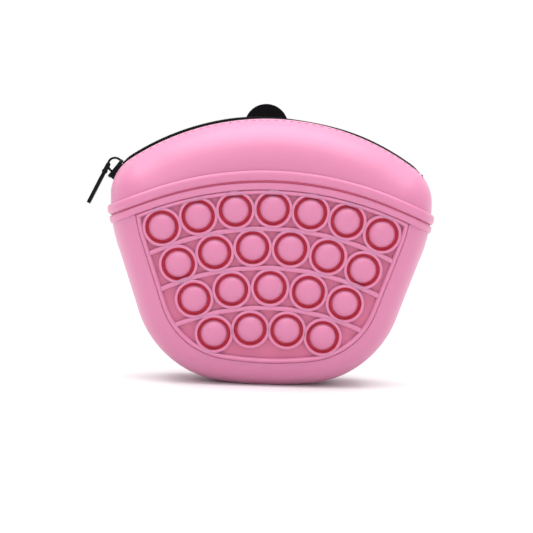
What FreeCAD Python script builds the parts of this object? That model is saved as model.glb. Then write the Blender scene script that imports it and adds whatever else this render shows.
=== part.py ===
"""Treat pouch: a moulded silicone zip pouch with push-in bubbles and a belt clip.

Units are millimetres. The origin is the middle of the flat base, +Z is up and the
bubble panel faces -Y. The writer at the end makes one STEP file per piece.
"""
import math
import os

import FreeCAD
import Part

V = FreeCAD.Vector

# ---- pouch outline, seen from the front ----
HALF_WIDTH = 69.4            # at the band, the widest place
CROWN_CENTRE_Z = 7.2         # the crown and the zip are arcs about this height
CROWN_R = 107.4              # outer face of the lips
CROWN_END_DEG = 35.0         # the crown arc hands over to the shoulder here
HIP_TOP_Z = 80.0             # the side is upright above this height
HIP_R = 66.0
MIN_UPRIGHT = 0.5            # shortest upright run between shoulder and hip
SIDE_DEG = 16.5              # taper of the sides
CORNER_R = 44.0
BOTTOM_R = 150.0
BOTTOM_DIP = 0.8             # trimmed off to leave the flat base facet

# ---- pouch depth and wall ----
BASE_HALF_DEPTH = 19.5       # half depth at the base
LEAN = 0.0652                # half depth gained per mm of height
WALL = 2.0
EDGE_IN = 10.5               # how far the side rounding reaches in from the outline
CROWN_IN = 13.0              # the same over the crown
FLAT_SIDE = 0.25             # share of the half depth with no side rounding
FLAT_CROWN = 0.16            # share of the half depth with no crown rounding

# ---- band ----
BAND_R = 140.0               # arch of the band lines
BAND_TOP_Z = 92.6            # upper edge of the round ridge at the middle
RIDGE_H = 4.5
BAND_GROOVE = 0.6
LOWER_BAND_H = 3.1
RIDGE_OUT = 1.3
LOWER_BAND_OUT = 1.0

# ---- bubble panel, in its own plane: U across, H up the slope ----
PANEL_TOP_H = 84.6
PANEL_INSET = 11.2           # border edge in from the pouch outline
PANEL_GAP = 0.06             # between the panel and its window
PANEL_T = 1.8                # thickness of the recessed field
FIELD_DEPTH = 1.3            # field below the front frame
BORDER_W = 2.0
RIB_W = 2.0
RIB_H = 1.1
RIB_MIDDLES = (68.0, 51.4, 34.2)     # height of each divider rib at the middle
RIB_RADII = (115.0, 106.0, 95.0)
ROWS = 4
ROW_COUNTS = (7, 6, 5, 4)
ROW_TOPS = (76.5, 60.2, 43.1, 25.2)  # height of each row's arc at the middle
ROW_RADII = (122.0, 96.0, 89.0, 98.0)
ROW_PITCHES = (15.9, 16.15, 16.4, 15.6)  # along the arc
HOLE_R = 7.0
RING_R = 8.1
RING_H = 1.9

# ---- one bubble ----
DOME_R = 5.5
DOME_H = 4.2
MEMBRANE_T = 0.8
BUBBLE_GAP = 0.15

# ---- zip ----
MOUTH_HALF = 4.0             # half width of the slot between the lips
MOUTH_END_DEG = 41.8
LIP_CUT_Z = 98.5             # the front lip pulls away above this height
LIP_GAP = 0.3
TAPE_R = 104.4
TAPE_T = 0.6
TAPE_HALF = 7.5
TAIL_HALF = 3.7
TAPE_IN = 0.6                # the two tapes leave this half gap for the slider's neck
TAPE_END_DEG = 41.0
TAPE_WIDE_DEG = 33.5
TEETH_R0 = 105.1
TEETH_R1 = 108.0
TEETH_OUT = 1.9
TEETH_END_DEG = 34.0

# ---- slider and pull ----
SLIDER_DEG = 38.0            # where it rests, left of the middle
SLIDER_PITCH_DEG = 6.0
SLIDER_LEN = 9.6
SLIDER_HALF = 3.5
PLATE_T = 1.2
UPPER_PLATE_R = 108.5
LOWER_PLATE_R = 102.6
BRIDGE_R = 3.5
BRIDGE_WIRE = 1.6
BRIDGE_HALF = 1.3
LINK_DEG = 38.0              # where the shackle's pin crosses the bridge's arch
LINK_LEN = 3.2               # shackle between the bridge and the pull
LINK_PIN_R = 0.5
CHEEK_R = 0.9
CHEEK_IN = 1.5
CHEEK_OUT = 2.1
EYE_R = 1.2
EYE_HALF = 1.3
PULL_LEN = 15.4
PULL_T = 1.6
PULL_HALF = 2.6
PULL_DEG = 25.5              # hangs this far off vertical

# ---- belt clip ----
CLIP_X = -2.0
CLIP_TOP_Z = 123.0
CLIP_PAD_R = 10.0
CLIP_HALF = 10.0
CLIP_T = 2.4
CLIP_PIN_Z = 97.0
CLIP_PIN_OUT = 9.6           # pin axis out from the rear wall
CLIP_PIN_R = 1.25
CLIP_FOOT_Z = 45.0
CLIP_BASE_TOP_Z = 101.0
BELT_GAP = 6.0
SCREW_ZS = (56.0, 80.0)
SEAT_MARGIN = 0.6            # flat seat for the clip round its base plate


def on_arc(cx, cz, radius, degrees):
    """Point on a circle, with the angle counted from straight up toward +X."""
    a = math.radians(degrees)
    return V(cx + radius * math.sin(a), 0.0, cz + radius * math.cos(a))


def arc(cx, cz, radius, start, end):
    """Circular edge between two angles counted from straight up."""
    points = [on_arc(cx, cz, radius, t) for t in (start, 0.5 * (start + end), end)]
    return Part.Arc(*points).toShape()


def outline(inset, crown_inset):
    """Closed front outline, drawn in by inset and by crown_inset over the crown."""
    half = HALF_WIDTH - inset
    crown = CROWN_R - crown_inset
    lean = math.sin(math.radians(CROWN_END_DEG))
    shoulder = (half - crown * lean) / (1.0 - lean)
    sx = (crown - shoulder) * lean
    sz = CROWN_CENTRE_Z + (crown - shoulder) * math.cos(math.radians(CROWN_END_DEG))
    hip = HIP_R - inset
    hip_top = min(HIP_TOP_Z, sz - MIN_UPRIGHT)
    hx = half - hip
    corner = CORNER_R - inset
    bottom = BOTTOM_R - inset
    bottom_z = BOTTOM_R - BOTTOM_DIP
    side = math.radians(SIDE_DEG)
    px = hx + hip * math.cos(side)
    pz = hip_top - hip * math.sin(side)
    # the corner circle touches the side line and the bottom arc
    reach = bottom - corner
    k = px - corner / math.cos(side) - pz * math.tan(side)
    t = math.tan(side)
    qa = 1.0 + t * t
    qb = 2.0 * (k * t - bottom_z)
    qc = k * k + bottom_z * bottom_z - reach * reach
    cz = (-qb - math.sqrt(qb * qb - 4.0 * qa * qc)) / (2.0 * qa)
    cx = k + t * cz
    turn = 180.0 - math.degrees(math.atan2(cx, bottom_z - cz))
    right = [
        arc(sx, sz, shoulder, CROWN_END_DEG, 90.0),
        Part.makeLine(V(half, 0, sz), V(half, 0, hip_top)),
        arc(hx, hip_top, hip, 90.0, 90.0 + SIDE_DEG),
        Part.makeLine(V(px, 0, pz), on_arc(cx, cz, corner, 90.0 + SIDE_DEG)),
        arc(cx, cz, corner, 90.0 + SIDE_DEG, turn),
    ]
    left = [edge.mirror(V(0, 0, 0), V(1, 0, 0)) for edge in reversed(right)]
    crown_edge = arc(0, CROWN_CENTRE_Z, crown, -CROWN_END_DEG, CROWN_END_DEG)
    bottom_edge = arc(0, bottom_z, bottom, turn, 360.0 - turn)
    return Part.Wire(Part.__sortEdges__([crown_edge] + right + [bottom_edge] + left))


def rounding(share, flat):
    """How far a quarter round has turned in at this share of the half depth."""
    if share <= flat:
        return 0.0
    s = (share - flat) / (1.0 - flat)
    return 1.0 - math.sqrt(max(0.0, 1.0 - s * s))


def half_shell(grow, facing):
    """Solid half of the pouch, grown outward by grow, on one side of the middle plane."""
    sections = []
    for share in (0.0, 0.2, 0.4, 0.55, 0.7, 0.82, 0.9, 0.96, 0.99, 1.0):
        inset = EDGE_IN * rounding(share, FLAT_SIDE) - grow
        crown_inset = CROWN_IN * rounding(share, FLAT_CROWN) - grow
        wire = outline(inset, crown_inset)
        tilt = math.degrees(math.atan(LEAN * share))
        wire.rotate(V(0, 0, 0), V(1, 0, 0), facing * -tilt)
        depth = (BASE_HALF_DEPTH + grow) * share
        wire.translate(V(0, facing * depth, 0))
        sections.append(wire)
    return Part.makeLoft(sections, True, True)


def pouch_solid(grow):
    """Whole pouch shape without its hollow."""
    return half_shell(grow, -1).fuse(half_shell(grow, 1)).removeSplitter()


def arch_slab(top_z, height, half_depth):
    """Curved slab between two lines of the band, running through the pouch."""
    outer = Part.makeCylinder(BAND_R, 2 * half_depth, V(0, -half_depth, top_z - BAND_R), V(0, 1, 0))
    inner = Part.makeCylinder(BAND_R, 2 * half_depth, V(0, -half_depth, top_z - height - BAND_R), V(0, 1, 0))
    keep = Part.makeBox(200, 2 * half_depth, 70, V(-100, -half_depth, 50))
    return outer.cut(inner).common(keep)


def ring_sector(r0, r1, y0, y1, start, end):
    """Part of a ring about the crown centre, between two angles and two depths."""
    low = arc(0, CROWN_CENTRE_Z, r0, start, end)
    high = arc(0, CROWN_CENTRE_Z, r1, start, end)
    side_a = Part.makeLine(low.Vertexes[0].Point, high.Vertexes[0].Point)
    side_b = Part.makeLine(low.Vertexes[1].Point, high.Vertexes[1].Point)
    face = Part.Face(Part.Wire(Part.__sortEdges__([low, side_b, high, side_a])))
    face.translate(V(0, y0, 0))
    return face.extrude(V(0, y1 - y0, 0))


def to_panel(shape):
    """Carry a shape from the panel's own plane onto the leaning front of the pouch."""
    shape.rotate(V(0, 0, 0), V(1, 0, 0), math.degrees(math.atan(LEAN)))
    shape.translate(V(0, -BASE_HALF_DEPTH, 0))
    return shape


def panel_region(inset, depth0, depth1):
    """Panel outline drawn in by inset, as a slab between two depths behind the frame."""
    wire = outline(PANEL_INSET + inset, 0.0)
    slab = Part.Face(wire).extrude(V(0, depth1 - depth0, 0))
    slab.translate(V(0, depth0, 0))
    height = PANEL_TOP_H - inset
    roof = Part.makeCylinder(BAND_R, 20, V(0, -10, height - BAND_R), V(0, 1, 0))
    return slab.common(roof)


def bubble_places():
    """Centre of every bubble in the panel's plane, row by row."""
    places = []
    for row in range(ROWS):
        count = ROW_COUNTS[row]
        for column in range(count):
            radius = ROW_RADII[row]
            turn = (column - 0.5 * (count - 1)) * ROW_PITCHES[row] / radius
            across = radius * math.sin(turn)
            up = ROW_TOPS[row] - radius * (1.0 - math.cos(turn))
            places.append((row + 1, column + 1, across, up))
    return places


def make_panel():
    """Front plate: recessed field, border, divider ribs and a ring round every hole."""
    panel = panel_region(PANEL_GAP, FIELD_DEPTH, FIELD_DEPTH + PANEL_T)
    border = panel_region(PANEL_GAP, 0.0, FIELD_DEPTH).cut(panel_region(BORDER_W, -1.0, 3.0))
    panel = panel.fuse(border)
    inside = panel_region(0.5 * BORDER_W, -3.0, FIELD_DEPTH)
    for middle, radius in zip(RIB_MIDDLES, RIB_RADII):
        foot = V(0, FIELD_DEPTH - RIB_H, middle - radius)
        outer = Part.makeCylinder(radius + 0.5 * RIB_W, 2 * RIB_H, foot, V(0, 1, 0))
        inner = Part.makeCylinder(radius - 0.5 * RIB_W, 2 * RIB_H, foot, V(0, 1, 0))
        panel = panel.fuse(outer.cut(inner).common(inside))
    rings = []
    holes = []
    for _, _, u, h in bubble_places():
        foot = V(u, FIELD_DEPTH - RING_H, h)
        rings.append(Part.makeCylinder(RING_R, RING_H + 0.5, foot, V(0, 1, 0)))
        holes.append(Part.makeCylinder(HOLE_R, 12, V(u, -5, h), V(0, 1, 0)))
    panel = panel.multiFuse(rings).cut(Part.makeCompound(holes))
    return to_panel(panel.removeSplitter())


def make_bubble(u, h):
    """Dome on a thin round membrane, standing in its hole."""
    ball_r = (DOME_R * DOME_R + DOME_H * DOME_H) / (2 * DOME_H)
    back = FIELD_DEPTH + PANEL_T
    front = back - MEMBRANE_T
    outer = Part.makeSphere(ball_r, V(u, front - DOME_H + ball_r, h))
    inner = Part.makeSphere(ball_r - MEMBRANE_T, V(u, front - DOME_H + ball_r, h))
    ahead = Part.makeBox(40, 20, 40, V(u - 20, back - 20, h - 20))
    disc = Part.makeCylinder(HOLE_R - BUBBLE_GAP, MEMBRANE_T, V(u, front, h), V(0, 1, 0))
    bubble = disc.fuse(outer.common(ahead)).cut(inner)
    return to_panel(bubble.removeSplitter())


def front_above(z, front):
    """Box over everything above a height, on the front or the back of the slot."""
    y0 = -60 if front else 0
    return Part.makeBox(200, 60, 80, V(-100, y0, z))


def make_shell():
    """Hollow pouch with its band, the mouth slot and the window for the panel."""
    outer = pouch_solid(0.0)
    band = pouch_solid(RIDGE_OUT).common(arch_slab(BAND_TOP_Z, RIDGE_H, 40))
    lower_top = BAND_TOP_Z - RIDGE_H - BAND_GROOVE
    lower = pouch_solid(LOWER_BAND_OUT).common(arch_slab(lower_top, LOWER_BAND_H, 40))
    shell = outer.fuse([band, lower]).cut(pouch_solid(-WALL))
    shell = shell.cut(ring_sector(95, 115, -MOUTH_HALF, MOUTH_HALF, -MOUTH_END_DEG, MOUTH_END_DEG))
    shell = shell.cut(to_panel(panel_region(0.0, -5.0, 8.0)))
    return shell.cut(Part.makeBox(200, 100, 20, V(-100, -50, -20)))


def make_tape(side, moving):
    """Zip tape on one side; the front one is in a moving middle and fixed ends."""
    y0, y1 = sorted((side * TAPE_IN, side * TAPE_HALF))
    wide = ring_sector(TAPE_R, TAPE_R + TAPE_T, y0, y1, -TAPE_WIDE_DEG, TAPE_WIDE_DEG)
    y0, y1 = sorted((side * TAPE_IN, side * TAIL_HALF))
    tape = wide.fuse(ring_sector(TAPE_R, TAPE_R + TAPE_T, y0, y1, -TAPE_END_DEG, TAPE_END_DEG))
    return split_front(tape.removeSplitter(), side, moving)


def make_teeth(side, moving):
    """Coil of teeth along one tape, as a plain rail."""
    y0, y1 = sorted((side * TAPE_IN, side * TEETH_OUT))
    rail = ring_sector(TEETH_R0, TEETH_R1, y0, y1, -TEETH_END_DEG, TEETH_END_DEG)
    return split_front(rail, side, moving)


def split_front(shape, side, moving):
    """Keep the moving middle or the fixed ends of a front piece; a back piece is whole."""
    if side > 0:
        return shape
    if moving:
        return shape.common(front_above(LIP_CUT_Z + LIP_GAP, True))
    return shape.cut(front_above(LIP_CUT_Z, True))


def make_stops():
    """Crimped stop on each end of the chain."""
    stops = []
    for end in (-1, 1):
        for side in (-1, 1):
            y0, y1 = sorted((side * TAPE_IN, side * 1.7))
            a0, a1 = sorted((end * 34.1, end * 35.0))
            stops.append(ring_sector(TEETH_R0, TEETH_R1 - 0.6, y0, y1, a0, a1))
    return Part.makeCompound(stops)


def slider_frame(shape):
    """Carry a shape from slider coordinates (X along, Z outward) to its rest place."""
    shape.rotate(V(0, 0, 0), V(0, 1, 0), -(SLIDER_DEG + SLIDER_PITCH_DEG))
    place = on_arc(0, CROWN_CENTRE_Z, SLIDER_R, -SLIDER_DEG)
    shape.translate(place)
    return shape


SLIDER_R = 0.5 * (UPPER_PLATE_R + LOWER_PLATE_R)
BRIDGE_OUT = UPPER_PLATE_R + PLATE_T - SLIDER_R
BRIDGE_X = -1.0
LINK_X = BRIDGE_X - (BRIDGE_R - 0.5 * BRIDGE_WIRE) * math.cos(math.radians(LINK_DEG))
LINK_OUT = BRIDGE_OUT + (BRIDGE_R - 0.5 * BRIDGE_WIRE) * math.sin(math.radians(LINK_DEG))


def make_slider():
    """Slider: two plates, side flanges, the neck between the tapes and the bridge."""
    half = 0.5 * SLIDER_LEN
    top_z = UPPER_PLATE_R - SLIDER_R
    low_z = LOWER_PLATE_R - SLIDER_R
    upper = Part.makeBox(SLIDER_LEN, 2 * SLIDER_HALF, PLATE_T, V(-half, -SLIDER_HALF, top_z))
    lower = Part.makeBox(SLIDER_LEN, 2 * SLIDER_HALF, PLATE_T, V(-half, -SLIDER_HALF, low_z - PLATE_T))
    neck = Part.makeBox(3.0, 0.8, top_z - low_z + 1.0, V(-half, -0.4, low_z - 0.5))
    slider = upper.fuse([lower, neck])
    for side in (-1, 1):
        y0 = side * 2.8 - 0.4
        slider = slider.fuse(Part.makeBox(SLIDER_LEN, 0.8, 2.0, V(-half, y0, top_z - 1.6)))
    outer = Part.makeCylinder(BRIDGE_R, 2 * BRIDGE_HALF, V(BRIDGE_X, -BRIDGE_HALF, BRIDGE_OUT), V(0, 1, 0))
    inner = Part.makeCylinder(BRIDGE_R - BRIDGE_WIRE, 2 * BRIDGE_HALF, V(BRIDGE_X, -BRIDGE_HALF, BRIDGE_OUT), V(0, 1, 0))
    above = Part.makeBox(20, 20, 20, V(-10, -10, BRIDGE_OUT - 0.3))
    slider = slider.fuse(outer.cut(inner).common(above))
    slider = slider.cut(Part.makeCylinder(LINK_PIN_R + 0.08, 20, V(LINK_X, -10, LINK_OUT), V(0, 1, 0)))
    return slider_frame(slider.removeSplitter())


def link_pivot():
    """Where the shackle's pin crosses the bridge."""
    return slider_frame(Part.Vertex(V(LINK_X, 0, LINK_OUT))).Point


def hang(shape, place):
    """Turn a shape that hangs straight down to the pull's angle and carry it to its pin."""
    shape.rotate(V(0, 0, 0), V(0, 1, 0), PULL_DEG)
    shape.translate(place)
    return shape


def pull_pivot():
    """Where the pull's pin crosses the shackle."""
    return hang(Part.Vertex(V(0, 0, -LINK_LEN)), link_pivot()).Point


def make_link():
    """Shackle: a cheek each side of the bridge, with a pin through it and one for the pull."""
    link = Part.makeCylinder(LINK_PIN_R, 2 * CHEEK_OUT, V(0, -CHEEK_OUT, 0), V(0, 1, 0))
    link = link.fuse(Part.makeCylinder(LINK_PIN_R, 2 * CHEEK_OUT, V(0, -CHEEK_OUT, -LINK_LEN), V(0, 1, 0)))
    for side in (-1, 1):
        y0 = min(side * CHEEK_IN, side * CHEEK_OUT)
        for z in (0, -LINK_LEN):
            link = link.fuse(Part.makeCylinder(CHEEK_R, CHEEK_OUT - CHEEK_IN, V(0, y0, z), V(0, 1, 0)))
        link = link.fuse(Part.makeBox(2 * CHEEK_R, CHEEK_OUT - CHEEK_IN, LINK_LEN, V(-CHEEK_R, y0, -LINK_LEN)))
    return hang(link.removeSplitter(), link_pivot())


def make_pull():
    """Flat pull with an eye that turns on the shackle's lower pin."""
    eye = Part.makeCylinder(EYE_R, 2 * EYE_HALF, V(0, -EYE_HALF, 0), V(0, 1, 0))
    arm = Part.makeBox(PULL_T, 2 * EYE_HALF, 3.6, V(-0.5 * PULL_T, -EYE_HALF, -3.6))
    blade = Part.makeBox(PULL_T, 2 * PULL_HALF, PULL_LEN - 2.6, V(-0.5 * PULL_T, -PULL_HALF, -PULL_LEN))
    pull = eye.fuse([arm, blade])
    pull = pull.cut(Part.makeCylinder(LINK_PIN_R + 0.08, 20, V(0, -10, 0), V(0, 1, 0)))
    return hang(pull.removeSplitter(), pull_pivot())


def clip_frame(shape):
    """Carry a clip shape (Y away from the wall, Z up the wall) to the rear wall."""
    shape.rotate(V(0, 0, 0), V(1, 0, 0), -math.degrees(math.atan(LEAN)))
    shape.translate(V(CLIP_X, BASE_HALF_DEPTH, 0))
    return shape


def rounded_plate(half, z0, z1, y0, y1, end_radius):
    """Upright plate with a half-round top."""
    plate = Part.makeBox(2 * half, y1 - y0, z1 - end_radius - z0, V(-half, y0, z0))
    cap = Part.makeCylinder(end_radius, y1 - y0, V(0, y0, z1 - end_radius), V(0, 1, 0))
    return plate.fuse(cap).removeSplitter()


def make_clip_base():
    """Plate screwed to the rear wall, with two ears for the pin."""
    base = Part.makeBox(2 * CLIP_HALF + 8, CLIP_T, CLIP_BASE_TOP_Z - CLIP_FOOT_Z, V(-CLIP_HALF - 4, 0.05, CLIP_FOOT_Z))
    for side in (-1, 1):
        x0 = side * (CLIP_HALF + 2.6) - 1.4
        ear = Part.makeBox(2.8, CLIP_PIN_OUT, 8.0, V(x0, 0.05 + 0.5 * CLIP_T, CLIP_PIN_Z - 4))
        tip = Part.makeCylinder(4.0, 2.8, V(x0, CLIP_PIN_OUT, CLIP_PIN_Z), V(1, 0, 0))
        base = base.fuse([ear, tip])
    hole = Part.makeCylinder(CLIP_PIN_R, 60, V(-30, CLIP_PIN_OUT, CLIP_PIN_Z), V(1, 0, 0))
    base = base.cut(hole)
    for z in SCREW_ZS:
        base = base.cut(Part.makeCylinder(1.5, 10, V(0, -1, z), V(0, 1, 0)))
        base = base.cut(Part.makeCone(1.5, 3.0, 1.5, V(0, 0.05 + CLIP_T - 1.5, z), V(0, 1, 0)))
    return clip_frame(base.removeSplitter())


def make_clip_lever():
    """Lever: thumb pad above the pin, jaw below it, gripping at its toe."""
    y_in = CLIP_T + BELT_GAP
    lever = Part.makeBox(2 * CLIP_HALF, CLIP_T, CLIP_PIN_Z - CLIP_FOOT_Z - 2, V(-CLIP_HALF, y_in, CLIP_FOOT_Z + 2))
    pad = rounded_plate(CLIP_PAD_R, CLIP_PIN_Z - 1, CLIP_TOP_Z, y_in, y_in + CLIP_T, CLIP_PAD_R)
    boss = Part.makeCylinder(3.6, 2 * CLIP_HALF, V(-CLIP_HALF, CLIP_PIN_OUT, CLIP_PIN_Z), V(1, 0, 0))
    toe = Part.makeBox(2 * CLIP_HALF, BELT_GAP - 0.2, 4.0, V(-CLIP_HALF, CLIP_T + 0.4, CLIP_FOOT_Z + 2))
    lever = lever.fuse([pad, boss, toe])
    lever = lever.cut(Part.makeCylinder(CLIP_PIN_R + 0.06, 60, V(-30, CLIP_PIN_OUT, CLIP_PIN_Z), V(1, 0, 0)))
    pocket = Part.makeBox(7.0, 12.0, 9.0, V(-3.5, CLIP_PIN_OUT - 6.0, CLIP_PIN_Z - 4.5))
    return clip_frame(lever.cut(pocket).removeSplitter())


def make_clip_pin():
    """Steel hinge pin through both ears."""
    pin = Part.makeCylinder(CLIP_PIN_R - 0.01, 2 * CLIP_HALF + 8, V(-CLIP_HALF - 4, CLIP_PIN_OUT, CLIP_PIN_Z), V(1, 0, 0))
    return clip_frame(pin)


def make_clip_spring():
    """Torsion spring round the pin in the lever's pocket, drawn as a sleeve."""
    sleeve = Part.makeCylinder(2.6, 6.0, V(-3.0, CLIP_PIN_OUT, CLIP_PIN_Z), V(1, 0, 0))
    leg = Part.makeBox(0.9, CLIP_PIN_OUT - CLIP_T - 2.2, 0.9, V(-3.0, CLIP_T + 0.1, CLIP_PIN_Z - 0.5))
    spring = sleeve.fuse(leg)
    return clip_frame(spring.cut(Part.makeCylinder(CLIP_PIN_R + 0.1, 60, V(-30, CLIP_PIN_OUT, CLIP_PIN_Z), V(1, 0, 0))))


def make_clip_backing():
    """Plate inside the pouch that the screws pull against."""
    plate = Part.makeBox(18, 1.6, 40, V(-9, -WALL - 1.7, 48))
    for z in SCREW_ZS:
        plate = plate.cut(Part.makeCylinder(1.3, 10, V(0, -8, z), V(0, 1, 0)))
    return clip_frame(plate)


def make_clip_screws():
    """Two countersunk screws through the base, the wall and the backing plate."""
    screws = []
    for z in SCREW_ZS:
        shank = Part.makeCylinder(1.25, CLIP_T + WALL + 1.5, V(0, -WALL - 1.6, z), V(0, 1, 0))
        head = Part.makeCone(1.35, 2.85, 1.4, V(0, CLIP_T - 1.4, z), V(0, 1, 0))
        screws.append(shank.fuse(head))
    return clip_frame(Part.makeCompound(screws))


def fit_rear(shell):
    """Flat seat for the clip across the band, and its screw holes through the rear wall."""
    height = CLIP_BASE_TOP_Z - CLIP_FOOT_Z + 2 * SEAT_MARGIN
    half = CLIP_HALF + 4 + SEAT_MARGIN
    seat = Part.makeBox(2 * half, 10, height, V(-half, 0, CLIP_FOOT_Z - SEAT_MARGIN))
    shell = shell.cut(clip_frame(seat))
    for z in SCREW_ZS:
        shell = shell.cut(clip_frame(Part.makeCylinder(1.4, 12, V(0, -6, z), V(0, 1, 0))))
    return shell


def save(name, shape):
    """Write one piece."""
    shape.exportStep("parts/" + name + ".step")


os.makedirs("parts", exist_ok=True)

whole = fit_rear(make_shell())
save("pouch_body", whole.cut(front_above(LIP_CUT_Z, True)))
save("front_lip", whole.common(front_above(LIP_CUT_Z + LIP_GAP, True)))
save("bubble_panel", make_panel())
for row, column, u, h in bubble_places():
    save("bubble_r%d_c%d" % (row, column), make_bubble(u, h))

save("zip_tape_front", make_tape(-1, True))
save("zip_tape_front_ends", make_tape(-1, False))
save("zip_tape_back", make_tape(1, False))
save("zip_teeth_front", make_teeth(-1, True))
save("zip_teeth_front_ends", make_teeth(-1, False))
save("zip_teeth_back", make_teeth(1, False))
save("zip_end_stops", make_stops())
save("slider_body", make_slider())
save("pull_link", make_link())
save("pull_tab", make_pull())

save("clip_base", make_clip_base())
save("clip_lever", make_clip_lever())
save("clip_pin", make_clip_pin())
save("clip_spring", make_clip_spring())
save("clip_backing_plate", make_clip_backing())
save("clip_screws", make_clip_screws())
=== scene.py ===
import math

import bmesh
import bpy
import numpy as np
from mathutils import Matrix, Vector
from mathutils.geometry import tessellate_polygon


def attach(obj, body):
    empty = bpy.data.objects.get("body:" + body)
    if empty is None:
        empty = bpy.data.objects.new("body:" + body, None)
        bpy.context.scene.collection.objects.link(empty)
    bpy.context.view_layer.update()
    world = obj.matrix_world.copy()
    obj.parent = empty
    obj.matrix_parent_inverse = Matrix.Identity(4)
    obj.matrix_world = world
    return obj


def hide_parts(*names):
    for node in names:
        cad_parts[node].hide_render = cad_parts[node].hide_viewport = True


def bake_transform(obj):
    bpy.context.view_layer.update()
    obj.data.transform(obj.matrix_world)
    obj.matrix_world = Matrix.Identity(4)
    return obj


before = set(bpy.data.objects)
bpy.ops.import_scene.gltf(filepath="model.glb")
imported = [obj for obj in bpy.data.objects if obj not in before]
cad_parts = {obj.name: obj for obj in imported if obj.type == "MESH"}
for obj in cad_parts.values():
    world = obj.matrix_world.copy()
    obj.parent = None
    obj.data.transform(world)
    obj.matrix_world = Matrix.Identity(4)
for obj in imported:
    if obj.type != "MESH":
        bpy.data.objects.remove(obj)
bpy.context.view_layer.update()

# ---- Pouch skin ----
# The real pouch is one moulded silicone shell, 2 mm thick, open along the crown. This piece is its back,
# sides, bottom and the frame round the bubble panel. Sizes are in millimetres until the mesh is made.

CROWN_Z, CROWN_R = 7.2, 107.4    # the crown's centre is low down, on the middle plane
SHOULDER = (51.113, 80.197, 18.287)
HIP = (3.4, 79.697, 66.0)
CORNER = (14.441, 44.188, 44.0)
SIDE = 109.0                     # way the straight side faces, in degrees from straight up
SIDE_RUN = 30.0
SIDE_X = 69.4                    # half width between shoulder and hip
TURN = 172.17
BASE_R = 150.0
HALF_DEPTH = 19.5                # front face from the middle plane at the base
LEAN = 0.0652                    # growth of that depth with height
TILT = math.atan(LEAN)
BAND_R = 140.0
WALL = 0.002
ARCS = [
    (0.0, CROWN_Z, CROWN_R, 0.0, 35.0),
    (*SHOULDER, 35.0, 90.0),
    (*HIP, 90.0, SIDE),
    (*CORNER, SIDE, TURN),
    (0.0, 149.2, BASE_R, TURN, 180.0),
]


def outward(degrees):
    return np.sin(np.radians(degrees)), np.cos(np.radians(degrees))


def half_outline():
    """Rows of x, z, nx, nz from the top middle round to the bottom middle, 0.5 mm apart."""
    rows = []
    for cx, cz, r, a0, a1 in ARCS:
        for a in np.linspace(a0, a1, 60):
            nx, nz = outward(a)
            rows.append((cx + r * nx, cz + r * nz, nx, nz))
    rows = np.array(rows)
    run = np.concatenate([[0], np.cumsum(np.hypot(np.diff(rows[:, 0]), np.diff(rows[:, 1])))])
    even = np.linspace(0, run[-1], int(run[-1] * 2))
    return even, np.array([np.interp(even, run, rows[:, k]) for k in range(4)]).T


RUN, RIM = half_outline()


def rim_at(s):
    """Outline point and outward direction at a length from the top middle; negative is the left side."""
    side = np.where(np.asarray(s) < 0, -1.0, 1.0)
    x, z, nx, nz = [np.interp(np.abs(s), RUN, RIM[:, k]) for k in range(4)]
    return x * side, z, nx * side, nz


def inset(x, z):
    """How far a point lies in from the outline, and the outward direction there."""
    side = np.where(x < 0, -1.0, 1.0)
    x = np.abs(x)
    best = np.full(x.shape, 1e9)
    ox = np.zeros(x.shape)
    oz = np.ones(x.shape)

    def offer(ok, d, nx, nz):
        ok = ok & (d < best)
        best[ok] = d[ok]
        ox[ok] = nx[ok]
        oz[ok] = nz[ok]

    for cx, cz, r, a0, a1 in ARCS:
        dx, dz = x - cx, z - cz
        far = np.maximum(np.hypot(dx, dz), 1e-9)
        turn = np.degrees(np.arctan2(dx, dz))
        offer((turn >= a0 - 0.3) & (turn <= a1 + 0.3), r - far, dx / far, dz / far)
    nx, nz = outward(SIDE)
    x0, z0 = HIP[0] + HIP[2] * nx, HIP[1] + HIP[2] * nz
    along = (x - x0) * nz - (z - z0) * nx
    one = np.ones(x.shape)
    offer((along >= -0.3) & (along <= SIDE_RUN + 0.3), (x0 - x) * nx + (z0 - z) * nz, nx * one, nz * one)
    offer((z > HIP[1]) & (z < SHOULDER[1]), SIDE_X - x, one, 0 * one)
    return best, ox * side, oz


def smooth(t):
    t = np.clip(t, 0, 1)
    return t * t * (3 - 2 * t)


def reach(x, z):
    """How far in the edge rounding reaches, and the half width of the strip between front and back."""
    turn = np.where(z < 60, 90.0, np.degrees(np.arctan2(np.abs(x), z - CROWN_Z)))
    return 20 - 9 * smooth((turn - 28) / 16), 4.7 + 1.3 * smooth((turn - 43) / 8)


def skin(x, z):
    """Depth of the outer face from the middle plane, and its outward normal on the -Y side."""
    x = np.asarray(x, float)
    z = np.asarray(z, float)
    d, ox, oz = inset(x, z)
    e, s = reach(x, z)
    full = HALF_DEPTH + LEAN * z
    c = np.clip(1 - d / e, 0, 1)
    sin = np.sqrt(1 - c * c)
    y = s + (full - s) * sin
    steep = (full - s) / e * c
    normal = np.stack([steep * ox, -sin, steep * oz - LEAN * sin * sin], -1)
    return y, normal / np.linalg.norm(normal, axis=-1, keepdims=True)


def bow(x, top):
    """Height of the arc over the front whose middle is at top."""
    return top - BAND_R + np.sqrt(BAND_R ** 2 - x * x)


def arch(x, top):
    """Height of a band line whose middle is at top; the lines lift a little as they wrap round the sides."""
    return bow(x, top) + 1.2 * (np.abs(x) / 70) ** 8


def meets_rim(top):
    """Length along the outline where a band line reaches it."""
    above = RIM[:, 1] - arch(RIM[:, 0], top)
    return RUN[int(np.argmax((above < 0) & (RUN > 60)))]


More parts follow.
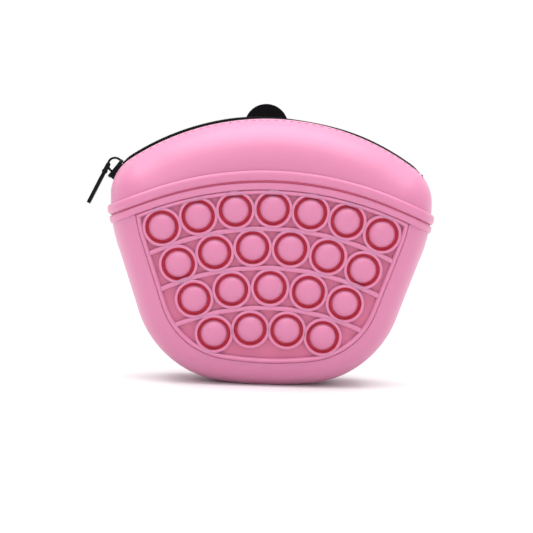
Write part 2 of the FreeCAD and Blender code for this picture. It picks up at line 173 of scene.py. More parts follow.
def make_object(name, points, faces, smooth_shade=True):
    mesh = bpy.data.meshes.new(name)
    mesh.from_pydata([(x * 0.001, y * 0.001, z * 0.001) for x, y, z in points], [], faces)
    mesh.validate()
    obj = bpy.data.objects.new(name, mesh)
    bpy.context.scene.collection.objects.link(obj)
    mesh.polygons.foreach_set("use_smooth", [smooth_shade] * len(mesh.polygons))
    return obj


def grid_faces(rows, columns, closed_rows=False, closed_columns=False, start=0):
    faces = []
    for r in range(rows if closed_rows else rows - 1):
        for c in range(columns if closed_columns else columns - 1):
            r1, c1 = (r + 1) % rows, (c + 1) % columns
            faces.append((start + r * columns + c, start + r * columns + c1,
                          start + r1 * columns + c1, start + r1 * columns + c))
    return faces


def tidy_mesh(obj, weld=0.00001):
    """Weld touching points and turn every face outward."""
    bm = bmesh.new()
    bm.from_mesh(obj.data)
    bmesh.ops.remove_doubles(bm, verts=bm.verts, dist=weld)
    bmesh.ops.recalc_face_normals(bm, faces=bm.faces)
    bm.to_mesh(obj.data)
    bm.free()
    return obj


def bake(obj):
    """Make the modifiers' result the object's own mesh."""
    bpy.context.view_layer.update()
    made = bpy.data.meshes.new_from_object(obj.evaluated_get(bpy.context.evaluated_depsgraph_get()))
    obj.modifiers.clear()
    obj.data = made
    return obj


def thicken(obj, thickness):
    solid = obj.modifiers.new("wall", "SOLIDIFY")
    solid.thickness = thickness
    solid.offset = -1
    return bake(obj)


def bevel(obj, width, segments=3):
    mod = obj.modifiers.new("bevel", "BEVEL")
    mod.width = width
    mod.segments = segments
    mod.limit_method = "ANGLE"
    mod.angle_limit = math.radians(40)
    mod.harden_normals = False
    return obj


SPLIT_TOP = 90.4
SPLIT_RUN = meets_rim(SPLIT_TOP)
SPLIT_X = rim_at(SPLIT_RUN)[0]
LIP_WALL = 2.5
MOUTH_END = 41.9                 # the slot for the zip ends here, in degrees from the top


def edge_rows(x, z, nx, nz, side):
    """Rows from the middle plane out to the edge: a plain strip at the sides, a rounded lip along the mouth."""
    turn = np.degrees(np.arctan2(np.abs(x), z - CROWN_Z))
    lip = smooth((MOUTH_END - turn) / 0.8)
    s = reach(x, z)[1]
    shapes = [(0.0, 4.0, -LIP_WALL), (0.25, 4.0, -1.3)]
    for a in (0, 18, 36, 54, 72, 90):
        t = math.radians(a)
        shapes.append((0.4 + 0.6 * a / 90, 4.7 - 0.7 * math.cos(t), -0.7 + 0.7 * math.sin(t)))
    rows = []
    for share, y_lip, r_lip in shapes[:-1]:
        y = s * share * (1 - lip) + y_lip * lip
        r = r_lip * lip
        rows.append(np.stack([x + nx * r, side * y, z + nz * r], -1))
    return rows


def crown_grid(side):
    """Outer face of the crown above the band on one side: rows from the mouth down to the band."""
    n = 150
    s = np.linspace(-1, 1, 2 * n + 1)
    x, z, nx, nz = rim_at(s * SPLIT_RUN)
    xi = SPLIT_X * s
    zi = arch(xi, SPLIT_TOP)
    rows = edge_rows(x, z, nx, nz, side)
    for w in 1 - np.cos(np.radians(np.linspace(0, 90, 31))):
        px, pz = x + (xi - x) * w, z + (zi - z) * w
        y = reach(x, z)[1] if w == 0 else skin(px, pz)[0]
        rows.append(np.stack([px, side * y, pz], -1))
    return np.array(rows)


PANEL_TOP = 84.42
PANEL_IN = 11.2


def window_corner():
    """Length along the outline whose inset point is the panel's upper corner."""
    x = RIM[:, 0] - PANEL_IN * RIM[:, 2]
    z = RIM[:, 1] - PANEL_IN * RIM[:, 3]
    low = z < bow(x, PANEL_TOP)
    return RUN[int(np.argmax(low & (RUN > 60)))]


CORNER_RUN = window_corner()


def window_point(s, extra=0.0):
    x, z, nx, nz = rim_at(s)
    d = PANEL_IN + extra
    return x - nx * d, z - nz * d


def lower_grid(side, fillet):
    """Rows from the middle plane round to the panel's window, for the part under the band."""
    n = 210
    t = np.linspace(0, 1, n + 1)
    right = SPLIT_RUN + t * (RUN[-1] - SPLIT_RUN)
    right_in = CORNER_RUN + t * (RUN[-1] - CORNER_RUN)
    s = np.concatenate([right, -right[::-1][1:]])
    s_in = np.concatenate([right_in, -right_in[::-1][1:]])
    x, z, nx, nz = rim_at(s)
    xi, zi = window_point(s_in)
    rows = edge_rows(x, z, nx, nz, side)
    for w in 1 - np.cos(np.radians(np.linspace(0, 90, 25))):
        px, pz = x + (xi - x) * w, z + (zi - z) * w
        y = reach(x, z)[1] if w == 0 else skin(px, pz)[0]
        rows.append(np.stack([px, side * y, pz], -1))
    rows = np.array(rows)
    if fillet:
        rows = np.concatenate([rows[:-1], window_fillet(xi, zi, s_in, side)])
    return rows


def window_fillet(xi, zi, s_in, side):
    """Small rounding where the face turns into the panel's window."""
    _, _, nx, nz = rim_at(s_in)
    y = skin(xi, zi)[0]
    rows = []
    for back, sink in ((0.4, 0.0), (0.2, 0.03), (0.06, 0.12), (0.0, 0.3), (0.0, 1.2)):
        rows.append(np.stack([xi + nx * back, side * (y - sink), zi + nz * back], -1))
    return np.array(rows)


def top_grid(side):
    """The face between the panel's top edge and the middle of the ridge."""
    n = 150
    s = np.linspace(-1, 1, 2 * n + 1)
    cx = window_point(CORNER_RUN)[0]
    xi = cx * s
    zi = bow(xi, PANEL_TOP)
    xo = SPLIT_X * s
    zo = arch(xo, SPLIT_TOP)
    rows = []
    for w in 1 - np.cos(np.radians(np.linspace(0, 90, 25))):
        px, pz = xo + (xi - xo) * w, zo + (zi - zo) * w
        y = skin(px, pz)[0]
        y[0] = y[0] if w else reach(px, pz)[1][0]
        y[-1] = y[-1] if w else reach(px, pz)[1][-1]
        rows.append(np.stack([px, side * y, pz], -1))
    return np.array(rows)


def joined(grids):
    points, faces = [], []
    for g in grids:
        faces += grid_faces(g.shape[0], g.shape[1], start=len(points))
        points += [tuple(p) for p in g.reshape(-1, 3)]
    return points, faces


def on_floor(points):
    """The base rests on a flat facet."""
    return [(x, y, max(z, 0.0)) for x, y, z in points]


def silicone(name, colour, rough=0.42, bump=0.06):
    mat = bpy.data.materials.new(name)
    mat.use_nodes = True
    nt = mat.node_tree
    shader = nt.nodes["Principled BSDF"]
    shader.inputs["Base Color"].default_value = (*colour, 1)
    shader.inputs["Roughness"].default_value = rough
    shader.inputs["IOR"].default_value = 1.42
    shader.inputs["Subsurface Weight"].default_value = 0.35
    shader.inputs["Subsurface Radius"].default_value = (1.0, 0.35, 0.45)
    shader.inputs["Subsurface Scale"].default_value = 0.0025
    shader.inputs["Specular IOR Level"].default_value = 0.75
    shader.inputs["Sheen Weight"].default_value = 0.1
    shader.inputs["Sheen Roughness"].default_value = 0.5
    coord = nt.nodes.new("ShaderNodeTexCoord")
    fine = nt.nodes.new("ShaderNodeTexNoise")
    fine.inputs["Scale"].default_value = 900
    fine.inputs["Detail"].default_value = 3
    nt.links.new(coord.outputs["Object"], fine.inputs["Vector"])
    lump = nt.nodes.new("ShaderNodeBump")
    lump.inputs["Strength"].default_value = bump
    lump.inputs["Distance"].default_value = 0.0002
    nt.links.new(fine.outputs["Fac"], lump.inputs["Height"])
    nt.links.new(lump.outputs["Normal"], shader.inputs["Normal"])
    return mat


PINK = silicone("pink_silicone", (0.535, 0.168, 0.303))
# Painted shade: darker pink for the creases round the panel's window and in the band's groove.
CREASE_SHADE = silicone("painted_crease_shade_silicone", (0.5, 0.05, 0.135))
# Painted shade: darker pink for the sunken field behind the rings and ribs, where the recess is in shade.
FIELD_SHADE = silicone("painted_field_shade_silicone", (0.53, 0.12, 0.235))
# Painted shade: a deep red for the walls of the narrow gaps round the bubbles.
GROOVE_SHADE = silicone("painted_groove_shade_silicone", (0.66, 0.05, 0.11), rough=0.7)

points, faces = joined([lower_grid(-1, True), top_grid(-1), lower_grid(1, False), top_grid(1), crown_grid(1)])
back_loop = lower_grid(1, False)[-1]
back_top = top_grid(1)[-1]
loop = [tuple(p) for p in back_loop] + [tuple(p) for p in back_top[1:-1]]
first = len(points)
points += loop
faces.append(tuple(range(first, first + len(loop))))
pouch = make_object("pouch_skin", on_floor(points), faces)
tidy_mesh(pouch)
thicken(pouch, WALL)
pouch.data.materials.clear()
pouch.data.materials.append(PINK)
pouch.data.materials.append(CREASE_SHADE)
# Painted shade: the walls of the rounding into the panel's window take the darker crease pink.
for poly in pouch.data.polygons:
    x, y, z = poly.center * 1000
    deep = skin([x], [z])[0][0] + y
    within = inset(np.array([x]), np.array([z]))[0][0]
    if y < -10 and z < 90 and abs(poly.normal.y) < 0.8 and deep > 0.08 and within > 10.5:
        poly.material_index = 1
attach(pouch, "pouch")
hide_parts("pouch_body")

# ---- Front crown ----
# The front half of the crown above the band, moulded in one with the shell. The real crown is soft enough to be pulled
# away at the lip while its foot stays with the pouch, which is how the mouth opens; here its mesh is only baked in
# place.


def soft_lip(obj):
    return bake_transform(obj)


points, faces = joined([crown_grid(-1)])
crown = make_object("front_crown", points, faces)
tidy_mesh(crown)
thicken(crown, WALL)
crown.data.materials.clear()
crown.data.materials.append(PINK)
soft_lip(crown)
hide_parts("front_lip")

# ---- Band ----
# A round ridge over a flatter one, moulded round the whole pouch under the crown, with a shadowed groove between
# the two; that groove's shade is painted on as a thin dark-pink strip.

BAND_TOP = 92.6


def band_path(top):
    """Closed path round the pouch on its outer face, with the outward direction at every point."""
    s = meets_rim(top)
    xc, zc, nx, nz = rim_at(s)
    x = xc * np.sin(np.radians(np.linspace(-88.5, 88.5, 240)))
    z = arch(x, top)
    y, n = skin(x, z)
    front = np.stack([x, -y, z], -1)
    half = reach(np.array([xc]), np.array([zc]))[1][0]
    across = np.linspace(-1, 1, 13) * half
    right = np.stack([np.full(13, xc), across, np.full(13, zc)], -1)
    right_n = np.tile([nx, 0.0, nz], (13, 1))
    flip = np.array([1, -1, 1])
    mirror = np.array([-1, 1, 1])
    path = np.concatenate([front, right, (front * flip)[::-1], (right * mirror)[::-1]])
    normals = np.concatenate([n, right_n, (n * flip)[::-1], (right_n * mirror)[::-1]])
    return path, normals


def bead(name, top, width, height, squareness, material=PINK):
    path, normals = band_path(top)
    along = np.roll(path, -1, 0) - np.roll(path, 1, 0)
    along /= np.linalg.norm(along, axis=1, keepdims=True)
    across = np.cross(normals, along)
    across /= np.linalg.norm(across, axis=1, keepdims=True)
    points = []
    turns = np.radians(np.linspace(0, 180, 15))
    for p, n, b in zip(path, normals, across):
        points.append(p + b * width * 0.5 - n * 0.6)
        for t in turns:
            c = math.copysign(abs(math.cos(t)) ** squareness, math.cos(t))
            points.append(p + b * width * 0.5 * c + n * height * math.sin(t) ** squareness)
        points.append(p - b * width * 0.5 - n * 0.6)
    obj = make_object(name, points, grid_faces(len(path), len(turns) + 2, closed_rows=True, closed_columns=True))
    tidy_mesh(obj)
    obj.data.materials.append(material)
    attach(obj, "pouch")
    return obj


bead("band_ridge", BAND_TOP - 2.15, 4.3, 1.5, 0.8)
bead("band_lower", BAND_TOP - 5.15 - 1.5, 3.0, 0.95, 0.6)
# Painted shade: a thin dark strip laid in the groove under the ridge stands in for its shadow.
bead("band_groove_painted_shade", BAND_TOP - 4.8, 1.2, 0.12, 1.0, CREASE_SHADE)

# ---- Bubble panel ----
# The front plate of push bubbles, moulded with the shell: a sunken field inside a rounded border, divider
# ribs in arcs, and a flat-topped ring round every hole.


def on_panel(u, h, depth):
    """Point of the panel's plane, depth behind the front face."""
    y = -HALF_DEPTH + depth * math.cos(TILT) - h * math.sin(TILT)
    return (u, y, h * math.cos(TILT) + depth * math.sin(TILT))


BUBBLES = []
ROWS = ((7, 76.5, 122.0, 15.9), (6, 60.2, 96.0, 16.15), (5, 43.1, 89.0, 16.4), (4, 25.2, 98.0, 15.6))
for row, (count, top, radius, pitch) in enumerate(ROWS, 1):
    for column in range(count):
        turn = (column - 0.5 * (count - 1)) * pitch / radius
        BUBBLES.append((row, column + 1, radius * math.sin(turn), top - radius * (1 - math.cos(turn))))


def panel_edge(extra):
    """Closed outline of the panel drawn in by extra, as rows of u, h."""
    roof = 84.6 - extra
    s = np.linspace(CORNER_RUN - 6, RUN[-1], 500)
    u, z = window_point(s, extra)
    h = z / math.cos(TILT)
    low = h < bow(u, roof)
    u, h = u[low], h[low]
    step = np.concatenate([[0], np.cumsum(np.hypot(np.diff(u), np.diff(h)))])
    even = np.linspace(0, step[-1], 150)
    u, h = np.interp(even, step, u), np.interp(even, step, h)
    over = np.linspace(-u[0], u[0], 130)[1:-1]
    top = bow(over, roof)
    right_down = np.stack([u, h], -1)
    left_up = np.stack([-u[::-1][1:], h[::-1][1:]], -1)
    return np.concatenate([right_down, left_up, np.stack([over, top], -1)])


def ring_lathe(u, h, profile, segments=56):
    """Points of a shape turned about a bubble's axis, from radius and depth pairs."""
    points = []
    for r, depth in profile:
        for k in range(segments):
            a = 2 * math.pi * k / segments
            points.append(on_panel(u + r * math.cos(a), h + r * math.sin(a), depth))
    return points, grid_faces(len(profile), segments, closed_columns=True)


def rounded_profile(r0, r1, top, bottom, r):
    """Cross-section of a ring: up one side, over a rounded flat top and down the other."""
    profile = [(r0, bottom)]
    for a in (0, 30, 60, 90):
        t = math.radians(a)
        profile.append((r0 + r - r * math.cos(t), top + r - r * math.sin(t)))
    for a in (90, 60, 30, 0):
        t = math.radians(a)
        profile.append((r1 - r + r * math.cos(t), top + r - r * math.sin(t)))
    profile.append((r1, bottom))
    return profile


def shade_grooves(obj, bubbles):
    """Painted shade: the narrow gap round each bubble sees only silicone, so its walls are painted the deeper red of
    its shade.
    """
    for poly in obj.data.polygons:
        x, y, z = poly.center * 1000
        depth = (y + HALF_DEPTH) * math.cos(TILT) + z * math.sin(TILT)
        h = z * math.cos(TILT) - (y + HALF_DEPTH) * math.sin(TILT)
        near = min(math.hypot(x - b[2], h - b[3]) for b in bubbles)
        if near < 7.06 and depth > -0.1 and (depth > 1.3 or near > 6.5):
            poly.material_index = 1


points, faces = [], []


def add(part):
    new_points, new_faces = part
    start = len(points)
    points.extend(new_points)
    faces.extend(tuple(start + k for k in f) for f in new_faces)


# field with a hole for every bubble
outline2d = panel_edge(0.6)
loops = [[Vector((u, h, 0)) for u, h in outline2d]]
for _, _, u, h in BUBBLES:
    ring = [2 * math.pi * k / 56 for k in range(56)]
    loops.append([Vector((u + 7.3 * math.cos(a), h + 7.3 * math.sin(a), 0)) for a in ring])
flat = [p for one in loops for p in one]
add(([on_panel(p.x, p.y, 1.3) for p in flat], [tuple(f) for f in tessellate_polygon(loops)]))

# border rib all round
inner_edges = [panel_edge(e) for e in np.linspace(0.06, 2.0, 9)]
border = []
for k, edge in enumerate(inner_edges):
    t = math.pi * k / (len(inner_edges) - 1)
    lift = 0.95 * math.sin(t) ** 0.7 if 0 < k < len(inner_edges) - 1 else 0.0
    border.append([on_panel(u, h, 0.12 - lift) for u, h in edge])
border.insert(0, [on_panel(u, h, 2.4) for u, h in inner_edges[0]])
border.append([on_panel(u, h, 1.6) for u, h in inner_edges[-1]])
add(([p for row in border for p in row], grid_faces(len(border), len(border[0]), closed_columns=True)))

# divider ribs in arcs that run into the border
for middle, radius in ((68.0, 115.0), (51.4, 106.0), (34.2, 95.0)):
    limit = panel_edge(1.0)
    spread = 0.0
    for a in np.linspace(0.05, 0.8, 400):
        u, h = radius * math.sin(a), middle - radius * (1 - math.cos(a))
        z = h * math.cos(TILT)
        if inset(np.array([u]), np.array([z]))[0][0] < PANEL_IN + 1.0:
            break
        spread = a
    rib = []
    for a in np.linspace(-spread, spread, 90):
        for r, depth in rounded_profile(radius - 1.0, radius + 1.0, -0.5, 1.6, 0.55):
            rib.append(on_panel(r * math.sin(a), middle - radius + r * math.cos(a), depth))
    add((rib, grid_faces(90, 10)))

# a ring round every hole
HOLE_R = 7.03
for _, _, u, h in BUBBLES:
    add(ring_lathe(u, h, [(HOLE_R, 2.6)] + rounded_profile(HOLE_R, 8.25, -0.62, 1.6, 0.34)))

panel = make_object("bubble_panel_skin", points, faces)
tidy_mesh(panel)
panel.data.materials.append(PINK)
panel.data.materials.append(GROOVE_SHADE)
panel.data.materials.append(FIELD_SHADE)
# Painted shade: faces sunk more than 1 mm behind the front take the darker field pink.
for poly in panel.data.polygons:
    x, y, z = poly.center * 1000
    if y + HALF_DEPTH + LEAN * z > 1.0:
        poly.material_index = 2
shade_grooves(panel, BUBBLES)
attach(panel, "pouch")
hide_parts("bubble_panel")

# ---- Bubbles ----
# Thin domes on round membranes, moulded in the holes. The real bubbles are pushed through to the other side and back,
# the rim staying with the panel while the top travels; here each is one mesh baked in place.

DOME_R, DOME_H = 5.75, 4.2
FOOT = 2.3                       # depth of the membrane round the dome
STEPS = 48

for row, column, u, h in BUBBLES:
    profile = [(7.2, 2.7), (7.2, FOOT), (6.3, FOOT), (5.85, 2.2)]
    for t in np.radians(np.linspace(86, 0, 20))[:-1]:
        profile.append((DOME_R * math.sin(t) ** 0.75, FOOT - DOME_H * math.cos(t) ** 0.75))
    shape, skin_faces = ring_lathe(u, h, profile, STEPS)
    apex = len(shape)
    shape.append(on_panel(u, h, FOOT - DOME_H))
    last = (len(profile) - 1) * STEPS
    skin_faces += [(last + k, last + (k + 1) % STEPS, apex) for k in range(STEPS)]
    bubble = make_object("bubble_skin_r%d_c%d" % (row, column), shape, skin_faces)
    tidy_mesh(bubble)
    # Painted shade: the part of the bubble down in the gap takes the deep red groove colour.
    bubble.data.materials.append(PINK)
    bubble.data.materials.append(GROOVE_SHADE)
    shade_grooves(bubble, [(row, column, u, h)])
    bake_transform(bubble)
    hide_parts("bubble_r%d_c%d" % (row, column))

# ---- Zip tapes ----
# Woven black polyester tape, sewn under each lip. The front tape follows the front lip; its tails lie in the
# ends of the slot.


def cloth(name, colour, pitch):
    mat = bpy.data.materials.new(name)
    mat.use_nodes = True
    nt = mat.node_tree
    shader = nt.nodes["Principled BSDF"]
    shader.inputs["Base Color"].default_value = (*colour, 1)
    shader.inputs["Roughness"].default_value = 0.8
    shader.inputs["Sheen Weight"].default_value = 0.3
    coord = nt.nodes.new("ShaderNodeTexCoord")
    heights = []
    for direction in ("X", "Y"):
        wave = nt.nodes.new("ShaderNodeTexWave")
        wave.bands_direction = direction
        wave.inputs["Scale"].default_value = pitch
        nt.links.new(coord.outputs["Object"], wave.inputs["Vector"])
        heights.append(wave)
    both = nt.nodes.new("ShaderNodeMath")
    both.operation = "MULTIPLY"
    nt.links.new(heights[0].outputs["Fac"], both.inputs[0])
    nt.links.new(heights[1].outputs["Fac"], both.inputs[1])
    lump = nt.nodes.new("ShaderNodeBump")
    lump.inputs["Strength"].default_value = 0.6
    lump.inputs["Distance"].default_value = 0.0002
    nt.links.new(both.outputs["Value"], lump.inputs["Height"])
    nt.links.new(lump.outputs["Normal"], shader.inputs["Normal"])
    return mat


TAPE = cloth("zip_tape_weave", (0.012, 0.012, 0.013), 450)


def ring_point(r, degrees, y):
    t = math.radians(degrees)
    return (r * math.sin(t), y, CROWN_Z + r * math.cos(t))


def tape(side):
    """Tape from its tail at one end of the slot to the other, with a thickened beaded inner edge."""
    angles = np.linspace(-41, 41, 221)
    points = []
    for a in angles:
        wide = 3.7 + 3.8 * float(smooth((34.5 - abs(a)) / 2))
        for y, r in ((wide, 104.4), (wide, 104.95), (2.1, 104.95), (1.6, 105.15),
                     (1.0, 105.15), (0.65, 104.95), (0.65, 104.4)):
            points.append(ring_point(r, a, side * y))
    faces = grid_faces(len(angles), 7, closed_columns=True)
    faces += [tuple(range(7)), tuple(len(points) - 7 + k for k in range(7))]
    return points, faces


for side, name, nodes in ((-1, "zip_tape_front_weave", ("zip_tape_front", "zip_tape_front_ends")),
                          (1, "zip_tape_back_weave", ("zip_tape_back",))):
    strip = make_object(name, *tape(side), smooth_shade=False)
    tidy_mesh(strip)
    strip.data.materials.append(TAPE)
    if side < 0:
        soft_lip(strip)
    else:
        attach(strip, "pouch")
    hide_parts(*nodes)

# ---- Zip teeth ----
# A nylon coil sewn along each tape: every turn is a bent wire whose nose reaches past the middle between two
# turns of the other side.


def coated(name, colour, rough, metal=0.0, coat=0.0, gloss=0.2):
    mat = bpy.data.materials.new(name)
    mat.use_nodes = True
    nt = mat.node_tree
    shader = nt.nodes["Principled BSDF"]
    shader.inputs["Base Color"].default_value = (*colour, 1)
    shader.inputs["Metallic"].default_value = metal
    shader.inputs["Specular IOR Level"].default_value = gloss
    shader.inputs["Coat Weight"].default_value = coat
    shader.inputs["Coat Roughness"].default_value = 0.2
    coord = nt.nodes.new("ShaderNodeTexCoord")
    fine = nt.nodes.new("ShaderNodeTexNoise")
    fine.inputs["Scale"].default_value = 500
    fine.inputs["Detail"].default_value = 4
    nt.links.new(coord.outputs["Object"], fine.inputs["Vector"])
    span = nt.nodes.new("ShaderNodeMapRange")
    span.inputs["To Min"].default_value = rough * 0.85
    span.inputs["To Max"].default_value = min(1.0, rough * 1.2)
    nt.links.new(fine.outputs["Fac"], span.inputs["Value"])
    nt.links.new(span.outputs["Result"], shader.inputs["Roughness"])
    return mat


NYLON = coated("zip_nylon", (0.003, 0.003, 0.0035), 0.45, gloss=0.06)


def tube(path, radius, sides=8, closed=False):
    """Round wire along a path of points."""
    path = np.array(path, float)
    n = len(path)
    if closed:
        along = np.roll(path, -1, 0) - np.roll(path, 1, 0)
    else:
        along = np.gradient(path, axis=0)
    along /= np.linalg.norm(along, axis=1, keepdims=True)
    points = []
    guide = np.array([0.31, 0.83, 0.46])
    for p, t in zip(path, along):
        u = np.cross(t, guide)
        u /= np.linalg.norm(u)
        v = np.cross(t, u)
        for k in range(sides):
            a = 2 * math.pi * k / sides
            points.append(p + radius * (u * math.cos(a) + v * math.sin(a)))
    faces = grid_faces(n, sides, closed_rows=closed, closed_columns=True)
    if not closed:
        faces += [tuple(range(sides))[::-1], tuple(len(points) - sides + k for k in range(sides))]
    return points, faces


def sag(degrees):
    """The soft chain dips a little between the lips, right of the middle, and toward its ends."""
    return 0.55 * math.exp(-((degrees - 8) / 9) ** 2) + 0.6 * float(smooth((abs(degrees) - 34.5) / 2.5))


TURNS = 122
CHAIN_END = 37.0                 # the coil runs this far each way from the top, in degrees
WIRE_TURN = ((2.1, 105.5, -0.3), (1.7, 107.2, -0.25), (0.5, 108.15, -0.2), (-0.5, 108.2, -0.1), (-0.8, 107.4, 0.0),
             (-0.55, 106.5, 0.1), (0.3, 106.2, 0.2), (1.4, 105.8, 0.28), (2.1, 105.35, 0.3))


def coil(side):
    """Every turn of one side of the chain, which stands a little prouder toward the left end."""
    points, faces = [], []
    step = 2 * CHAIN_END / TURNS
    for k in range(TURNS):
        a = -CHAIN_END + step * (k + (0.25 if side > 0 else 0.75))
        path = []
        for y, r, lean in WIRE_TURN:
            path.append(ring_point(r - sag(a) + 0.3 * float(smooth(-a / 10)), a + lean * step, side * y))
        start = len(points)
        more, more_faces = tube(path, 0.33, 6)
        points += [tuple(p) for p in more]
        faces += [tuple(start + i for i in f) for f in more_faces]
    return points, faces


for side, name, nodes in ((-1, "zip_coil_front", ("zip_teeth_front", "zip_teeth_front_ends")),
                          (1, "zip_coil_back", ("zip_teeth_back",))):
    chain = make_object(name, *coil(side))
    tidy_mesh(chain)
    chain.data.materials.append(NYLON)
    if side < 0:
        soft_lip(chain)
    else:
        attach(chain, "pouch")
    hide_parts(*nodes)

STOP_AT = 37.5
BLACK_METAL = coated("black_plated_zinc", (0.003, 0.003, 0.0035), 0.35, metal=0.3, coat=0.03, gloss=0.12)
points, faces = [], []
for end in (-1, 1):
    for side in (-1, 1):
        staple = ((104.9, 1.9), (106.6, 1.9), (107.4, 1.2), (107.4, 0.5), (106.5, 0.15))
        add(tube([ring_point(r, end * STOP_AT, side * y) for r, y in staple], 0.5, 8))
stops = make_object("zip_stops_crimped", points, faces)
tidy_mesh(stops)
stops.data.materials.append(BLACK_METAL)
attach(stops, "pouch")
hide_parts("zip_end_stops")

# ---- Stitching ----
# Lockstitch that sews each tape under its lip, one row just below the lip's edge, and the tack that closes
# each end of the slot.

THREAD = cloth("thread", (0.66, 0.24, 0.38), 2500)


STITCH_EVERY, STITCH_LEN = 3.3, 2.4
STITCH_IN = 0.75                 # from the outline


def stitches(side):
    points, faces = [], []
    for s in np.arange(-72.0, 72.1, STITCH_EVERY):
        path = []
        for k in range(9):
            x, z, nx, nz = rim_at(s + (k / 8 - 0.5) * STITCH_LEN)
            px, pz = x - nx * STITCH_IN, z - nz * STITCH_IN
            y, n = skin(np.array([px]), np.array([pz]))
            n = n[0] * np.array([1, -side, 1])
            sink = 0.42 * (abs(k - 4) / 4) ** 3
            path.append(np.array([px, side * y[0], pz]) + n * (0.08 - sink))
        start = len(points)
        more, more_faces = tube(path, 0.24, 6)
        points += [tuple(p) for p in more]
        faces += [tuple(start + i for i in f) for f in more_faces]
    return points, faces


for side, name in ((-1, "stitches_front"), (1, "stitches_back")):
    seam = make_object(name, *stitches(side))
    tidy_mesh(seam)
    seam.data.materials.append(THREAD)
    if side < 0:
        soft_lip(seam)
    else:
        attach(seam, "pouch")

SLOT_END = RUN[int(np.argmax(np.degrees(np.arctan2(RIM[:, 0], RIM[:, 1] - CROWN_Z)) > MOUTH_END))]
points, faces = [], []
for end in (-1, 1):
    for k in range(5):
        path = []
        for j in range(9):
            lift = 0.35 * math.sin(math.pi * j / 8)
            x, z, nx, nz = rim_at(end * (SLOT_END + 1.2 + 0.5 * k))
            path.append((x + nx * (lift - 0.1), -1.6 + 3.2 * j / 8, z + nz * (lift - 0.1)))
        add(tube(path, 0.22, 6))
tacks = make_object("slot_end_tacks", points, faces)
tidy_mesh(tacks)
tacks.data.materials.append(THREAD)
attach(tacks, "pouch")

# ---- Slider and pull ----
# Black plated die-cast slider on the chain, a small shackle through its bridge, and a flat pull that swings
# on the shackle.

SLIDER_R, SLIDER_AT = 105.55, -38
SLIDER_PITCH = 44                # slope of the chain where the slider stands, in degrees
CAST_PITCH, CAST_SHIFT = 53, 1.5  # the body tips and sits past the chain's end


def on_slider(x, y, out, pitch=SLIDER_PITCH):
    """Point of the slider's frame at rest: x along the chain, out away from the crown centre."""
    t = math.radians(-pitch)
    cx, _, cz = ring_point(SLIDER_R, SLIDER_AT, 0)
    return (cx + x * math.cos(t) + out * math.sin(t), y, cz - x * math.sin(t) + out * math.cos(t))


def prism(outline, low, high):
    n = len(outline)
    points = [on_slider(x - CAST_SHIFT, y, level, CAST_PITCH) for level in (low, high) for x, y in outline]
    faces = [tuple(range(n))[::-1], tuple(range(n, 2 * n))]
    faces += [(k, (k + 1) % n, n + (k + 1) % n, n + k) for k in range(n)]
    return points, faces


def shield(half_len, wide, narrow, steps=10):
    """Slider plate seen from above: rounded at both ends and narrower where the closed chain leaves."""
    outline = []
    for k in range(steps + 1):
        a = math.radians(-90 + 180 * k / steps)
        outline.append((half_len - 1.6 + 1.6 * math.cos(a), narrow * math.sin(a)))
    for k in range(steps + 1):
        a = math.radians(90 + 180 * k / steps)
        outline.append((-half_len + 1.6 + 1.6 * math.cos(a), wide * math.sin(a)))
    return outline


points, faces = [], []
add(prism(shield(4.8, 3.5, 2.7), 2.0, 3.3))
add(prism(shield(4.8, 3.5, 2.7), -4.1, -3.0))
add(prism([(-4.4, -0.35), (-1.6, -0.35), (-1.6, 0.35), (-4.4, 0.35)], -3.2, 2.2))
for y in (-1, 1):
    add(prism([(-3.6, y * 2.9), (3.4, y * 2.35), (3.4, y * 2.75), (-3.6, y * 3.4)][::y], 1.0, 2.2))
slider = make_object("slider_cast", points, faces)
tidy_mesh(slider)
bevel(slider, 0.0003)
slider.data.materials.append(BLACK_METAL)
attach(slider, "slider")
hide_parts("slider_body")

path = []
for k in range(25):
    a = math.radians(-18 + 216 * k / 24)
    path.append(on_slider(-1.0 - 3.05 * math.cos(math.pi - a), 0, 3.5 + 3.3 * math.sin(a)))
bridge = make_object("slider_bridge", *tube(path, 0.5, 10))
tidy_mesh(bridge)
bridge.data.materials.append(BLACK_METAL)
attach(bridge, "slider")

for name in ("pull_link", "pull_tab"):
    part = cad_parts[name]
    bevel(part, 0.00025 if name != "pull_link" else 0.00012)
    part.data.materials.clear()
    part.data.materials.append(BLACK_METAL)

# ---- Belt clip ----
# Black glass-filled nylon clip: a plate screwed through the rear wall to a plate inside, and a sprung lever
# with a thumb pad that stands over the crown.

CLIP = coated("clip_nylon", (0.0025, 0.0025, 0.003), 0.5, gloss=0.05)
STEEL = coated("zinc_steel", (0.55, 0.55, 0.56), 0.3, metal=1.0)
for name in ("clip_base", "clip_lever", "clip_backing_plate"):
    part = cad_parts[name]
    bevel(part, 0.0007)
    part.data.materials.clear()
    part.data.materials.append(CLIP)
for name in ("clip_pin", "clip_screws"):
    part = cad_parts[name]
    bevel(part, 0.0002)
    part.data.materials.clear()
    part.data.materials.append(STEEL)


def on_rear(x, y, h):
    """Point of the clip's frame: y out from the rear wall, h up it."""
    out = HALF_DEPTH + y * math.cos(TILT) + h * math.sin(TILT)
    return (x - 2.0, out, h * math.cos(TILT) - y * math.sin(TILT))


path = [on_rear(-2.8, 2.7, 96.0 - 1.5), on_rear(-2.8, 5.0, 96.0 - 1.2)]
for k in range(4 * 24 + 1):
    a = 2 * math.pi * k / 24 - math.pi / 2
    path.append(on_rear(-2.7 + 5.2 * k / 96, 9.6 + 2.1 * math.cos(a), 97 + 2.1 * math.sin(a)))
spring = make_object("clip_spring_coil", *tube(path, 0.42, 8))
tidy_mesh(spring)
spring.data.materials.append(STEEL)
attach(spring, "pouch")
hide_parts("clip_spring")

# ---- Floor, light and camera ----
# A plain white disc under two soft lamps and a white surround. The camera stands in front of the pouch, a
# little to the left and above, and tilts a touch.

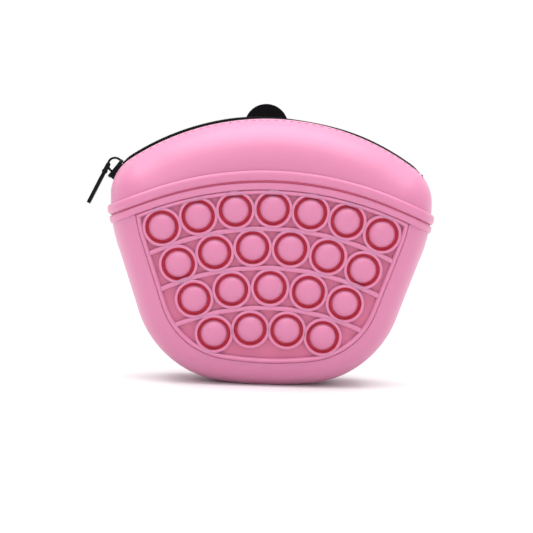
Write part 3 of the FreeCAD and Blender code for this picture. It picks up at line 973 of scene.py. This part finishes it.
edge = [(900 * math.cos(math.radians(a)), 900 * math.sin(math.radians(a)), 0) for a in range(0, 360, 3)]
ground = make_object("floor", edge, [tuple(range(len(edge)))], False)
white = bpy.data.materials.new("floor_white")
white.use_nodes = True
white.node_tree.nodes["Principled BSDF"].inputs["Base Color"].default_value = (0.76, 0.76, 0.76, 1)
white.node_tree.nodes["Principled BSDF"].inputs["Roughness"].default_value = 0.6
ground.data.materials.append(white)

world = bpy.data.worlds.new("studio")
world.use_nodes = True
world.node_tree.nodes["Background"].inputs["Color"].default_value = (1, 1, 1, 1)
world.node_tree.nodes["Background"].inputs["Strength"].default_value = 1.0
bpy.context.scene.world = world


def lamp(name, place, aim, size, power):
    data = bpy.data.lights.new(name, "AREA")
    data.shape = "RECTANGLE"
    data.size, data.size_y = size
    data.energy = power
    obj = bpy.data.objects.new(name, data)
    obj.location = place
    obj.rotation_euler = (Vector(aim) - Vector(place)).to_track_quat("-Z", "Y").to_euler()
    bpy.context.scene.collection.objects.link(obj)


lamp("top_softbox", (0.0, -0.1, 1.5), (0, 0, 0.05), (1.8, 1.6), 34.0)
lamp("front_softbox", (-0.4, -1.8, 1.0), (0, 0, 0.05), (1.2, 0.8), 4.0)

azimuth, elevation, roll = math.radians(-2.2), math.radians(4.0), math.radians(2.05)
back = Vector((math.sin(azimuth) * math.cos(elevation), -math.cos(azimuth) * math.cos(elevation), math.sin(elevation)))
right = (-back).cross(Vector((0, 0, 1))).normalized()
up = right.cross(-back)
x_axis = right * math.cos(roll) + up * math.sin(roll)
y_axis = -right * math.sin(roll) + up * math.cos(roll)
camera_data = bpy.data.cameras.new("camera")
camera_data.lens = 108.07
camera_data.sensor_width = 36
camera = bpy.data.objects.new("camera", camera_data)
turned = Matrix((x_axis, y_axis, back)).transposed().to_4x4()
camera.matrix_world = Matrix.Translation(Vector((-0.001, 0, 0.0503)) + back * 0.7) @ turned
bpy.context.scene.collection.objects.link(camera)
bpy.context.scene.camera = camera
bpy.context.scene.view_settings.view_transform = "Standard"
